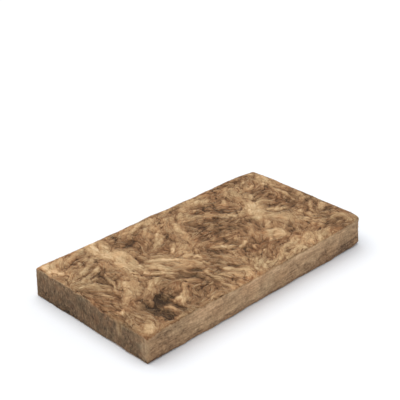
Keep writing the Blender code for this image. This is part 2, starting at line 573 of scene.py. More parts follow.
def puffs(x, y, run, pitch, stretch, rng):
    """Puffs of wool that press on one another, each with a length of fibre as its long way.

    Centres are scattered about pitch millimetres apart, and a cell belongs to the nearest of them,
    with distances shortened along the fibre. Gives how far each cell is from its puff's rim, in
    millimetres, how high the puff domes there, from 0 to 1, and a random number of that puff.
    """
    wide = int((LENGTH_MM + 2 * RIM) / pitch) + 6
    deep = int((WIDTH_MM + 2 * RIM) / pitch) + 6
    row, column = np.meshgrid(np.arange(wide), np.arange(deep), indexing="ij")
    cx = (row - 2 + rng.uniform(0, 1, row.shape)) * pitch - RIM
    cy = (column - 2 + rng.uniform(0, 1, row.shape)) * pitch - RIM
    cos, sin = sampled(run[0], cx, cy), sampled(run[1], cx, cy)
    size = rng.uniform(0.75, 1.35, row.shape)
    shade = rng.normal(0, 1, row.shape)
    i0 = np.clip(((x + RIM) / pitch).astype(int) + 2, 2, wide - 3)
    j0 = np.clip(((y + RIM) / pitch).astype(int) + 2, 2, deep - 3)
    nearest, second, own = np.full(x.shape, 1e3), np.full(x.shape, 1e3), np.zeros(x.shape)
    for di in range(-2, 3):
        for dj in range(-2, 3):
            i, j = i0 + di, j0 + dj
            dx, dy = x - cx[i, j], y - cy[i, j]
            along = (dx * cos[i, j] + dy * sin[i, j]) / stretch
            across = dy * cos[i, j] - dx * sin[i, j]
            far = np.hypot(along, across) * size[i, j]
            second = np.where(far < nearest, nearest, np.minimum(second, far))
            own = np.where(far < nearest, shade[i, j], own)
            nearest = np.minimum(nearest, far)
    return second - nearest, np.clip(1 - (nearest / (0.6 * pitch)) ** 2, 0, 1), own


def fold(x, y, run, size, width, rng):
    """How many of its own widths each cell is from a thin fold, below 0 on one side of it.

    The folds are the lines where a drawn-out noise passes zero. They thin to nothing in places. The
    material draws them from this number, because a line so thin would fall between the cells.
    """
    folded = drawn_out(blots(x.shape, size, rng), x, y, run, 32.0)
    there = np.clip(0.5 + blots(x.shape, 2 * size, rng), 0.02, 1)
    return np.clip(folded / (width * there), -12, 12)


def marks_laid(x, y, lights, hollows, rng):
    """The marks laid on the plan: its tone, its relief, the rims of the locks and their insides.

    With q the distance to a mark's middle line, frayed by small random shifts, as a share of half
    the mark's width and 1.5 mm more, a light lock weighs MARK_WEIGHT / (1 + q^5), a hollow
    MARK_WEIGHT / (1 + q^4) and the plain felt PLAIN_WEIGHT, and the tone is the mean of all their
    tones by weight. A lock swells as 1 - q^2, its inside, where painted light makes it lighter
    towards its middle, and a hollow sinks as exp(-q^2), its tone partly the felt's own and partly
    painted shade that deepens with its depth. Of those that overlap, the highest lock and the deepest
    hollow count. The painted shade along a rim is a Gaussian line just outside a lock, and thins out
    in places.
    """
    ragged_x = x + 2.2 * blots(x.shape, 26.0, rng) + 1.0 * blots(x.shape, 9.0, rng)
    ragged_y = y + 2.2 * blots(x.shape, 26.0, rng) + 1.0 * blots(x.shape, 9.0, rng)
    total = np.full_like(x, PLAIN_WEIGHT)
    value = total * (0.46 + 0.05 * blots(x.shape, 80.0, rng))
    lift, sunk, rims, inside = (np.zeros_like(x) for _ in range(4))
    for path, width, light in lights:
        reach = 0.5 * width + 1.5
        near = cells_near(path, 4 * reach + 10)
        q = distance(ragged_x[near], ragged_y[near], path) / reach
        weight = MARK_WEIGHT / (1 + q**5)
        domed = np.clip(1 - q * q, 0, 1)
        # The lock's own tone, and painted light on its dome: lighter towards its middle.
        value[near] += weight * (0.42 + 0.80 * (light - 0.5) + 0.12 * domed)
        total[near] += weight
        lift[near] = np.maximum(lift[near], (1.0 + 0.06 * width) * domed)
        inside[near] = np.maximum(inside[near], domed)
        # Painted shade just outside the lock, where it meets the felt round it.
        rims[near] = np.maximum(rims[near], np.exp(-(((q - 1.1) * reach) / RIM_SHADE_WIDTH) ** 2))
    for path, width, depth in hollows:
        reach = 0.5 * width + 1.5
        near = cells_near(path, 5 * reach + 10)
        q = distance(ragged_x[near], ragged_y[near], path) / reach
        weight = MARK_WEIGHT / (1 + q**4)
        # The hollow's tone: partly the felt's own and partly painted shade, darker the deeper it is.
        value[near] += weight * (0.47 - 0.034 * depth)
        total[near] += weight
        sunk[near] = np.maximum(sunk[near], 0.5 * depth * np.exp(-q * q))
    rims *= (1 - inside) * np.clip(0.5 + 0.5 * blots(x.shape, 30.0, rng), 0, 1)
    return value / total, lift - sunk, rims, inside


def felted_face(seed=7):
    """Height in millimetres, tone from 0 to 1, warmth and direction of fibre over the upper face.

    Height is the marks' relief, tufts and the domes of coarse and fine puffs, less the seams between
    puffs and the long creases. Tone is the marks' tone and a texture of small tufts and of the puffs'
    own random tones, painted light on their domes and painted shade in the seams between them, which
    is calmer in the light locks and at the near corner and stronger where the marks are dark. Painted
    shade along the locks' rims darkens it, and painted light and shade from the relief make it a
    little lighter where the felt stands out from what is round it and darker where it sinks. Warmth
    is coarse and fine blots, less in the dark. Where it is calm, the folds' lines are thinner.
    """
    rng = np.random.default_rng(seed)
    x, y = plan_grid(LENGTH_MM, WIDTH_MM)
    flat = flattening()
    lights = [(marked(p, flat), w, t) for p, w, t in LIGHT_LOCKS]
    hollows = [(marked(p, flat), w, d) for p, w, d in HOLLOWS]
    run = fibre_run(x, y, [p for p, _, _ in lights + hollows], rng)
    plan, relief, rims, inside = marks_laid(x, y, lights, hollows, rng)

    warp_x = x + 5.0 * blots(x.shape, 34.0, rng) + 2.2 * blots(x.shape, 12.0, rng)
    warp_y = y + 5.0 * blots(x.shape, 34.0, rng) + 2.2 * blots(x.shape, 12.0, rng)
    rim, dome, own = puffs(warp_x, warp_y, run, 38.0, 1.8, rng)
    fine_rim, fine_dome, fine_own = puffs(warp_x, warp_y, run, 19.0, 2.0, rng)
    seams = np.exp(-(rim / 3.0) ** 2) * np.clip(0.7 + 0.4 * blots(x.shape, 40.0, rng), 0, 1.2)
    fine_seams = np.exp(-(fine_rim / 2.2) ** 2) * np.clip(0.5 + 0.5 * blots(x.shape, 40.0, rng), 0, 1.2)
    calm = (1 - 0.7 * bell(np.stack([x, y], -1), (20, 25), 38.0)) * (1 - 0.45 * inside)
    tangled = 1 + 0.5 * np.clip((0.40 - plan) / 0.14, 0, 1)
    big = tufts(x, y, run, 46.0, 16.0, rng)
    small = tufts(x, y, run, 11.0, 8.0, rng)
    folds = {name: fold(x, y, run, size, width, rng) for name, (size, width) in FOLDS.items()}
    height = relief + 0.6 * big + 2.4 * dome + 0.5 * fine_dome - 1.2 * seams - 0.4 * fine_seams
    height += 0.3 * small - 0.8 * np.exp(-folds["creases"] ** 2)
    # Each puff's own random tone, and painted light on the puffs' domes, lighter at their tops.
    puffed = 0.022 * own + 0.11 * (dome - 0.5) + 0.012 * fine_own + 0.03 * (fine_dome - 0.5)
    # Less painted shade in the seams between the puffs.
    texture = puffed - 0.15 * seams - 0.05 * fine_seams + 0.018 * small
    # Less the painted shade along the light locks' rims.
    tone = 0.096 + 0.87 * plan + calm * tangled * texture - 0.13 * rims
    # Painted light and shade from the relief: lighter where the felt stands out, darker where it sinks.
    tone += 0.03 * (height - blurred(height, 5))

    # The relief is lower towards the rim, where the felt was pressed as it was cut.
    inset = np.minimum(np.minimum(x, LENGTH_MM - x), np.minimum(y, WIDTH_MM - y))
    height *= 0.45 + 0.55 * np.clip(inset / 50.0, 0, 1)
    warmth = 0.45 * blots(x.shape, 90.0, rng) + 0.35 * blots(x.shape, 26.0, rng)
    warmth -= 9.0 * np.clip(0.34 - plan, 0, 0.2)
    return {"height": height - height.mean(), "tone": tone, "warmth": warmth,
            "run_x": run[0], "run_y": run[1], **{name: lines / calm for name, lines in folds.items()}}


def cut_sides(seed=17):
    """The same over the four sides, unrolled: x runs round the batt and y up through it.

    A long side is level layers, shorter level streaks, fuzz and soft patches. An end is upright
    cuts, fuzz, mottle and dark specks that sink a little into the cut. Both are summed with painted
    light and shade, lighter at the upper rim and darker at the lower one by the floor, and with
    SIDE_PATCHES as Gaussians.
    """
    rng = np.random.default_rng(seed)
    girth = 2 * (LENGTH_MM + WIDTH_MM)
    x, y = plan_grid(girth, THICK_MM)
    corners = np.cumsum([LENGTH_MM, WIDTH_MM, LENGTH_MM])
    end = np.where((x > corners[0]) & (x < corners[1]) | (x > corners[2]), 1.0, 0.0)
    end = blurred(end, 4)
    slope = 0.10 * blots(x.shape, 120.0, rng) + 0.12 * blots(x.shape, 24.0, rng)
    level = np.cos(slope), np.sin(slope)
    upright = np.sin(slope), np.cos(slope)
    fuzz = blots(x.shape, 5.0, rng)
    specks = np.clip(drawn_out(blots(x.shape, 9.0, rng), x, y, level, 4.0) - 1.0, 0, 3)
    layers = drawn_out(blots(x.shape, 9.0, rng), x, y, level, 64.0)
    streaks = drawn_out(blots(x.shape, 5.0, rng), x, y, level, 16.0)
    cuts = drawn_out(blots(x.shape, 4.0, rng), x, y, upright, 8.0)
    up = np.clip(y / THICK_MM, 0, 1)
    patches = blots(x.shape, 34.0, rng)
    mottle = blots(x.shape, 14.0, rng)
    # Painted light and shade: lighter towards the upper rim, darker towards the lower one by the floor.
    shade = 0.05 * (up - 0.4) + 0.08 * np.exp(-(1 - up) * 6) - 0.13 * np.exp(-up * 7)
    for px, py, reach_x, reach_y, added in SIDE_PATCHES:
        shade += added * np.exp(-((x - px) / reach_x) ** 2 - ((y - py) / reach_y) ** 2)
    long_height = 0.4 * layers + 0.4 * streaks + 0.4 * fuzz
    long_tone = 0.54 + 0.045 * layers + 0.05 * streaks + 0.07 * fuzz + 0.045 * patches + shade
    end_height = 0.3 * cuts + 0.3 * layers + 0.3 * mottle - 1.2 * specks
    end_tone = 0.52 + 0.06 * cuts + 0.03 * layers + 0.07 * fuzz + 0.02 * mottle - 0.12 * specks + shade
    return {"height": long_height + end * (end_height - long_height),
            "tone": long_tone + end * (end_tone - long_tone),
            "warmth": 0.4 * blots(x.shape, 60.0, rng) + 0.6 + end * (0.6 * blots(x.shape, 16.0, rng) - 0.8)}


# Meshes

def mesh_of(name, points, loops, totals):
    """A mesh from its points in metres, the corners of all its faces in one row, and each face's count."""
    mesh = bpy.data.meshes.new(name)
    mesh.vertices.add(len(points))
    mesh.vertices.foreach_set("co", points.astype(np.float32).ravel())
    mesh.loops.add(len(loops))
    mesh.loops.foreach_set("vertex_index", loops.astype(np.int32))
    mesh.polygons.add(len(totals))
    starts = np.concatenate([[0], np.cumsum(totals)[:-1]])
    mesh.polygons.foreach_set("loop_start", starts.astype(np.int32))
    mesh.polygons.foreach_set("use_smooth", np.ones(len(totals), bool))
    mesh.update(calc_edges=True)
    mesh.validate()
    return mesh


def add_attribute(mesh, name, values):
    """A value or a vector for each point."""
    kind, key = ("FLOAT", "value") if values.ndim == 1 else ("FLOAT_VECTOR", "vector")
    attribute = mesh.attributes.new(name, kind, "POINT")
    attribute.data.foreach_set(key, values.astype(np.float32).ravel())


def closed_box_grid():
    """A closed grid on a unit box: its points, the corners of its faces and each face's count.

    Also the part that each face belongs to, counted as in PARTS, and the points of the upper face
    and of the rings round the sides, in rows. The rings crowd to the rims: each one's level is moved
    by a sine of one turn over the height.
    """
    nx, ny, nz = CELLS
    u, v = np.meshgrid(np.arange(nx + 1) / nx, np.arange(ny + 1) / ny, indexing="ij")
    top = np.arange(u.size).reshape(u.shape)
    points = [np.stack([u, v, np.ones_like(u)], -1).reshape(-1, 3)]
    border = np.concatenate([top[:-1, 0], top[-1, :-1], top[:0:-1, -1], top[0, :0:-1]])
    rings = [border]
    start = u.size
    levels = np.arange(nz - 1, -1, -1) / nz
    for level in levels - RIM_CROWDING * np.sin(2 * np.pi * levels) / (2 * np.pi):
        ring = points[0][border].copy()
        ring[:, 2] = level
        points.append(ring)
        rings.append(np.arange(start, start + len(border)))
        start += len(border)
    rings = np.stack(rings)

    # The underside's cells are twice as large. Each is a polygon of the points that exist on it.
    under = np.full(u.size, -1)
    under[border] = rings[-1]
    under = under.reshape(u.shape)
    inner = np.zeros(u.shape, bool)
    inner[2:-2:2, 2:-2:2] = True
    under[inner] = np.arange(start, start + inner.sum())
    points.append(np.stack([u[inner], v[inner], np.zeros(inner.sum())], -1))

    upper = np.stack([top[:-1, :-1], top[1:, :-1], top[1:, 1:], top[:-1, 1:]], -1).reshape(-1, 4)
    after = np.roll(rings, -1, axis=1)
    side = np.stack([rings[:-1], rings[1:], after[1:], after[:-1]], -1).reshape(-1, 4)
    around = [(0, 0), (0, 1), (0, 2), (1, 2), (2, 2), (2, 1), (2, 0), (1, 0)]
    below = np.stack([under[i:nx - 1 + i:2, j:ny - 1 + j:2] for i, j in around], -1).reshape(-1, 8)
    totals = np.concatenate([np.full(len(upper), 4), np.full(len(side), 4), (below >= 0).sum(1)])
    loops = np.concatenate([upper.ravel(), side.ravel(), below[below >= 0]])
    spans = np.tile(np.repeat([1, 2, 3, 4], [nx, ny, nx, ny]), nz)
    parts = np.concatenate([np.zeros(len(upper), int), spans, np.full(len(below), 5)])
    return np.vstack(points), loops, totals, parts, top, rings


def bake_layout(unit, loops, totals, parts):
    """Places on the baked picture: each part laid flat, at one scale but for the squeezed underside."""
    part = np.repeat(parts, totals)
    u, v, w = unit[loops].T
    left, wide, low, high = np.array(PARTS)[part].T
    ends = (part == 2) | (part == 4)
    level = (part == 0) | (part == 5)
    across = np.where(ends, v, u)
    upward = np.where(level, v, w)
    return np.stack([left + wide * (BAKE_EDGE + (1 - 2 * BAKE_EDGE) * across),
                     low + high * (BAKE_EDGE + (1 - 2 * BAKE_EDGE) * upward)], 1)


def waves(place, size, seed):
    """Slow random waves through space: the sum of six sines with lengths near size, spread near 1."""
    rng = np.random.default_rng(seed)
    total = np.zeros(len(place))
    for _ in range(6):
        way = rng.normal(size=3)
        way *= 2 * np.pi / size / np.linalg.norm(way) * rng.uniform(0.7, 1.4)
        total += np.sin(place @ way + rng.uniform(0, 2 * np.pi))
    return total / np.sqrt(3)


def rounded(box):
    """The box with rounded edges: its points, and at each one the direction outward.

    A point is pulled to the nearest point of the box shrunk by the rounding radius, and pushed out
    again by that radius.
    """
    radius = EDGE_RADIUS + 1.0 * waves(box, 90.0, 31)
    for place, more, spread in ROUNDER_PLACES:
        radius += more * bell(box, place, spread)
    inset = np.maximum(radius, LEAST_RADIUS)[:, None]
    core = np.clip(box, inset, np.array([LENGTH_MM, WIDTH_MM, THICK_MM]) - inset)
    out = box - core
    out /= np.linalg.norm(out, axis=1, keepdims=True)
    return core + out * inset, out


def out_of_true(points, box, out):
    """The points moved as the photograph shows them: no side is quite straight or level.

    Slow waves push the sides in and out and the upper face up and down, in step with the height.
    The right near corner is pinched in and raised. Nothing goes below the floor.
    """
    height = box[:, 2] / THICK_MM
    level = out * (1, 1, 0)
    points += level * (0.9 * waves(box, 330.0, 41) + 0.6 * waves(box, 110.0, 42))[:, None]
    points[:, 2] += height * 1.0 * waves(box, 380.0, 43)
    pinch = 7.5 * bell(box, (LENGTH_MM, 0, THICK_MM * 0.55), 30.0)
    pinch += 4.5 * bell(box, (LENGTH_MM, 0, THICK_MM), 25.0)
    points[:, :2] += pinch[:, None] * (-1.0, 0.9)
    points[:, 2] += 7.0 * height * bell(box[:, :2], (LENGTH_MM, 0), 150.0)
    points[:, 2] = np.maximum(points[:, 2], 0.0)
    return points


def share_cut(box, on_face, beneath, drop):
    """How much of a cut side each point shows, from 0 on the felt to 1 on the cut.

    The felt hangs over the rim by a few millimetres, by far more where it is rolled over the left
    end, and less at the far end of that edge and on the underside. From there it gives way to the
    cut within 8 mm of drop. A place near the face's own plane stays felt.
    """
    across = box * (1, 1, 0)
    hang = 1.5 + 19.0 * bell(box, (0, 140, THICK_MM), 75.0) * (1 + 0.25 * waves(across, 45.0, 46))
    hang += 14.0 * bell(box, (0, 0, THICK_MM), 30.0) + 2.0 * waves(across, 50.0, 47)
    hang += 1.6 * waves(across, 16.0, 48)
    hang = np.maximum(hang, 0.0)
    hang -= 8.0 * bell(box, (0, 500, THICK_MM), 150.0) + 6.0 * beneath
    return np.clip((drop - hang) / 8.0, 0, 1) * np.clip(3 - 3 * on_face, 0, 1)


def girth_place(x, y):
    """Millimetres round the outline from the near left corner, to the place nearest each point."""
    gaps = np.stack([y, LENGTH_MM - x, WIDTH_MM - y, x])
    girth = 2 * (LENGTH_MM + WIDTH_MM)
    places = np.stack([x, LENGTH_MM + y, girth - WIDTH_MM - x, girth - y])
    return np.take_along_axis(places, gaps.argmin(0)[None], 0)[0]


def read_round(field, place, z):
    """A field of the unrolled sides, its two ends merged into each other over RIM each way."""
    girth = 2 * (LENGTH_MM + WIDTH_MM)
    share = 0.5 * np.clip(1 - np.minimum(place, girth - place) / RIM, 0, 1)
    other = np.where(place < girth / 2, place + girth, place - girth)
    return (1 - share) * sampled(field, place, z) + share * sampled(field, other, z)


def batt_surface(unit, face, side):
    """The batt's points in metres, and for each one its tone, warmth and fibre.

    The relief moves a point of the rounded box outward: by the felt's height on the two faces and
    by the cut's height on the four sides, shared by the square of how far outward is upward.
    """
    box = unit * (LENGTH_MM, WIDTH_MM, THICK_MM)
    x, y, z = box.T
    points, out = rounded(box)

    # The felt of a face runs on over its rim, and the underside has the upper face's felt mirrored.
    beneath = out[:, 2] < 0
    drop = np.clip(np.where(beneath, z, THICK_MM - z), 0, RIM)
    off = out[:, :2] / (np.linalg.norm(out[:, :2], axis=1, keepdims=True) + 1e-9)
    px, py = x + off[:, 0] * drop, y + off[:, 1] * drop
    px = np.where(beneath, LENGTH_MM - px, px)
    round_x = girth_place(x, y)

    # On the underside the felt is pressed flat: only its hollows are left, shallower.
    on_face = out[:, 2] ** 2
    felt_height = sampled(face["height"], px, py)
    felt_height = np.where(beneath, np.minimum(felt_height - 3.0, 0.0) * 0.6, felt_height)
    cut_height = read_round(side["height"], round_x, z)
    points += out * (on_face * felt_height + (1 - on_face) * cut_height)[:, None]
    points = out_of_true(points, box, out)

    # What each point shows. The fibre runs level along a long side and upright on an end.
    cut = share_cut(box, on_face, beneath, drop)
    end = np.clip((np.abs(out[:, 0]) - 0.5) / 0.3, 0, 1) * (1 - 0.75 * bell(box[:, :2], (0, 0), 24.0))
    flip = np.where(beneath, -1, 1)
    run = np.stack([sampled(face["run_x"], px, py) * flip, sampled(face["run_y"], px, py),
                    np.zeros_like(x)], 1)
    long_way = np.stack([np.ones_like(x), np.zeros_like(x), 0.1 * waves(box, 60.0, 44)], 1)
    up_way = np.stack([np.zeros_like(x), 0.1 * waves(box, 60.0, 45), np.ones_like(x)], 1)
    cut_run = long_way + end[:, None] * (up_way - long_way)
    facts = {name: (1 - cut) * sampled(face[name], px, py) + cut * read_round(side[name], round_x, z)
             for name in ("tone", "warmth")}
    facts |= {"cut": cut, "end": end * cut, "run": run + cut[:, None] * (cut_run - run)}
    facts |= {name: sampled(face[name], px, py) for name in FOLDS}
    return points * MM + np.array(LOWEST), facts


# Loose fibres

def between(grid, u, v):
    """Points of a grid of points, read between its rows and columns, weighted by nearness."""
    u = np.clip(u, 0, grid.shape[0] - 1.001)
    v = np.clip(v, 0, grid.shape[1] - 1.001)
    i, j = u.astype(int), v.astype(int)
    fu, fv = (u - i)[..., None], (v - j)[..., None]
    low = grid[i, j] * (1 - fu) + grid[i + 1, j] * fu
    high = grid[i, j + 1] * (1 - fu) + grid[i + 1, j + 1] * fu
    return low * (1 - fv) + high * fv


def streamlines(run, centres, lengths, bends, count):
    """Lines of the plan that follow the fibre from their centres, both ways, and bend a little.

    Each step keeps most of the last one's direction and is turned by the line's own angle.
    """
    half = count // 2
    step = (lengths / (count - 1))[:, None]
    cos, sin = np.cos(bends)[:, None], np.sin(bends)[:, None]
    lines = np.zeros((len(centres), count, 2))
    lines[:, half] = centres
    for way in (-1, 1):
        place, last = centres, None
        for k in range(1, half + 1):
            aim = np.stack([sampled(part, place[:, 0], place[:, 1]) for part in run], 1)
            if last is None:
                aim = aim * way
            else:
                aim = np.where((aim * last).sum(1, keepdims=True) < 0, -aim, aim)
                aim = 0.75 * last + 0.25 * aim
                aim = aim * cos + np.stack([-aim[:, 1], aim[:, 0]], 1) * sin
            aim = aim / np.linalg.norm(aim, axis=1, keepdims=True)
            place = place + aim * step
            last = aim
            lines[:, half + way * k] = place
    return lines


def fibre_mesh(name, lines, radii):
    """Thin three-sided closed tubes round lines of points.

    With t from -1 to 1 along the line, a tube's radius goes as the root of 1.05 - t^2.
    """
    count, points = lines.shape[:2]
    ahead = np.gradient(lines, axis=1)
    ahead /= np.linalg.norm(ahead, axis=2, keepdims=True) + 1e-9
    aside = np.cross(ahead, (0.3, 0.2, 1.0))
    aside /= np.linalg.norm(aside, axis=2, keepdims=True) + 1e-9
    upward = np.cross(ahead, aside)
    t = np.linspace(-1, 1, points)
    thick = radii[:, None, None] * np.sqrt(1.05 - t * t)[None, :, None]
    turns = (0, 2 * math.pi / 3, 4 * math.pi / 3)
    rings = [lines + thick * (math.cos(a) * aside + math.sin(a) * upward) for a in turns]
    verts = np.stack(rings, 2).reshape(-1, 3)
    start = (np.arange(count) * points * 3)[:, None, None]
    ring = (np.arange(points - 1) * 3)[None, :, None]
    corner = np.arange(3)[None, None, :]
    after = (np.arange(3) + 1) % 3
    a, b = start + ring + corner, start + ring + after[None, None, :]
    quads = np.stack([a, a + 3, b + 3, b], -1).reshape(-1, 4)
    first = start[:, 0] + np.array([0, 1, 2])
    last = start[:, 0] + (points - 1) * 3 + np.array([2, 1, 0])
    caps = np.concatenate([first, last])
    totals = np.concatenate([np.full(len(quads), 4), np.full(len(caps), 3)])
    return mesh_of(name, verts, np.concatenate([quads.ravel(), caps.ravel()]), totals)


def upper_fibres(points, top, face, seed=61):
    """Meshes of the fibres that lie on the felt's dark parts, and of those on its light parts.

    They follow the felt, arch above it by their own height times 1 - t^4, with t from -1 to 1, and
    lie half a millimetre lower, so that their ends are tucked in.
    """
    rng = np.random.default_rng(seed)
    centres = rng.uniform((4, 4), (LENGTH_MM - 4, WIDTH_MM - 4), (UPPER_FIBRES, 2))
    lengths = rng.uniform(*UPPER_LENGTHS, UPPER_FIBRES)
    bends = rng.normal(0, 0.09, UPPER_FIBRES)
    lines = streamlines((face["run_x"], face["run_y"]), centres, lengths, bends, UPPER_POINTS)
    surface = points[top]
    on = between(surface, lines[..., 0] / LENGTH_MM * CELLS[0], lines[..., 1] / WIDTH_MM * CELLS[1])
    t = np.linspace(-1, 1, UPPER_POINTS)
    arch = rng.uniform(0.6, 2.0, (UPPER_FIBRES, 1)) * (1 - t**4) - 0.5
    on[..., 2] += arch * MM
    radii = rng.uniform(*UPPER_RADII, UPPER_FIBRES) * MM
    light = sampled(face["tone"], centres[:, 0], centres[:, 1]) > MIDDLE_TONE
    return (fibre_mesh("loose_fibres_dark", on[~light], radii[~light]),
            fibre_mesh("loose_fibres_light", on[light], radii[light]))


def side_fibres(points, rings, seed=67):
    """Fibre ends that stand off the four cut sides and curl, most of them near the two rims.

    With t from 0 to 1 and lengths as shares of the fibre's own, one stands off by 0.7 t - 0.5 t^2,
    leans aside in step with t, and rises or falls by a part of t and a part of t^2.
    """
    rng = np.random.default_rng(seed)
    closed = np.concatenate([rings, rings[:, :1]], 1)
    surface = points[closed]
    around = rng.uniform(0, closed.shape[1] - 1, SIDE_FIBRES)
    through = CELLS[2] * rng.beta(0.7, 0.9, SIDE_FIBRES)
    root = between(surface, through, around)
    ahead = between(surface, through, around + 2) - root
    ahead /= np.linalg.norm(ahead, axis=1, keepdims=True) + 1e-9
    outward = np.cross(ahead, (0.0, 0.0, 1.0))
    t = np.linspace(0, 1, SIDE_POINTS)[None, :, None]
    length = rng.uniform(*SIDE_LENGTHS, (SIDE_FIBRES, 1, 1)) * MM
    lean = rng.uniform(-1.0, 1.0, (SIDE_FIBRES, 1, 1))
    rise = rng.uniform(-0.6, 0.5, (SIDE_FIBRES, 1, 1))
    curl = rng.uniform(-0.8, 0.3, (SIDE_FIBRES, 1, 1))
    off = (0.7 * t - 0.5 * t * t) * length
    lines = root[:, None] + outward[:, None] * (off - 0.4 * MM)
    lines = lines + ahead[:, None] * lean * t * length
    lines[..., 2:] += (rise * t + curl * t * t) * length * 0.7
    lines[..., 2] = np.maximum(lines[..., 2], 0.5 * MM)
    return fibre_mesh("loose_fibres_sides", lines, rng.uniform(*SIDE_RADII, SIDE_FIBRES) * MM)


# Materials

def linear(code):
    """An sRGB hex colour as linear red, green, blue and alpha."""
    parts = [int(code[i:i + 2], 16) / 255 for i in (1, 3, 5)]
    return (*[c / 12.92 if c <= 0.04045 else ((c + 0.055) / 1.055) ** 2.4 for c in parts], 1.0)


def add(tree, kind, settings, inputs, out=0):
    """Adds a node with its settings, sets or links its inputs, and gives one of its outputs.

    The stops of a colour ramp count as a setting: pairs of a place and an sRGB hex colour.
    """
    made = tree.nodes.new(kind)
    for name, value in settings.items():
        if name == "stops":
            elements = made.color_ramp.elements
            while len(elements) < len(value):
                elements.new(0.5)
            for element, (place, code) in zip(elements, value):
                element.position = place
                element.color = linear(code)
        else:
            setattr(made, name, value)
    for name, value in inputs.items():
        if isinstance(value, bpy.types.NodeSocket):
            tree.links.new(value, made.inputs[name])
        else:
            made.inputs[name].default_value = value
    return made.outputs[out]


def per_metre(size):
    """How many blots of that size in millimetres go into a metre, which is a noise's scale."""
    return 1 / (size * MM)


def fibres(tree, place, run, width):
    """Fibre of about that width in millimetres, from 0 to 1: a noise averaged at five places along it.

    A real fibre is a few thousandths of a millimetre thick, too fine to show, so each one that is
    drawn here stands for a strand of many.
    """
    total = 0.0
    for step in (-2, -1, 0, 1, 2):
        moved = add(tree, "ShaderNodeVectorMath", TIMES_PLUS,
                    {0: run, 1: (step * 0.9 * width * MM,) * 3, 2: place})
        found = add(tree, NOISE, {}, {"Vector": moved, "Scale": per_metre(width), "Detail": 3.0,
                                      "Roughness": 0.6})
        total = add(tree, MATH, TIMES_PLUS, {0: found, 1: 0.2, 2: total})
    return total


def drawn_line(tree, widths):
    """1 on a line and 0 away from it: exp(-w * w), where w is how many of its widths a place is off."""
    squared = add(tree, MATH, TIMES, {0: widths, 1: widths})
    turned = add(tree, MATH, TIMES, {0: squared, 1: -1.0})
    return add(tree, MATH, {"operation": "EXPONENT"}, {0: turned})


